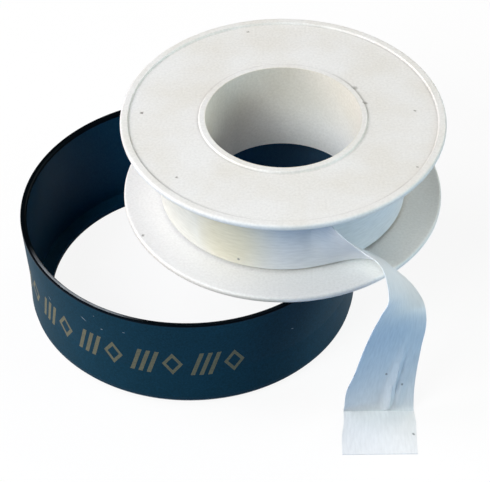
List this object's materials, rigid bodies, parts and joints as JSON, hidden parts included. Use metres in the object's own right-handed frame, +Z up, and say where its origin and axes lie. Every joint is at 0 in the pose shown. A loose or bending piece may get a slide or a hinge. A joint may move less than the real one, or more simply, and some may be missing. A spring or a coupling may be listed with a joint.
{
  "type": "thread seal tape roll",
  "caption": "Flanged spool of thread seal tape standing off-centre on its open cover ring, with the free end of the tape twisted over the flange and lying on the table.",
  "frame": {"origin": "on the table, under the middle of the object's outline", "axes": "+Z up along the spool's bore, -Y towards the viewer of the picture and the tape's free end, +X to the right"},
  "size_m": [0.0702, 0.0682, 0.0355],
  "materials": {
    "navy_plastic": "injection-moulded dark navy plastic, satin gloss",
    "white_plastic": "injection-moulded white plastic, fine satin",
    "ptfe_film": "unsintered PTFE film, soft and slightly translucent"
  },
  "bodies": {
    "cover_ring": {"cover_ring": "navy_plastic"},
    "tape_end": {"tape_outer_turn": "ptfe_film", "tape_tail": "ptfe_film"},
    "spool": {"spool_upper_half": "white_plastic", "spool_lower_half": "white_plastic", "tape_pack": "ptfe_film"}
  },
  "joints": [
    {"name": "spool_lift", "type": "slide", "parent": "cover_ring", "child": "tape_end", "axis": [0, 0, 1], "range_m": [0, 0.04]},
    {"name": "spool_spin", "type": "hinge", "parent": "tape_end", "child": "spool", "pos_m": [0.0086, 0.00757, 0.02725], "axis": [0, 0, 1], "continuous": true}
  ]
}
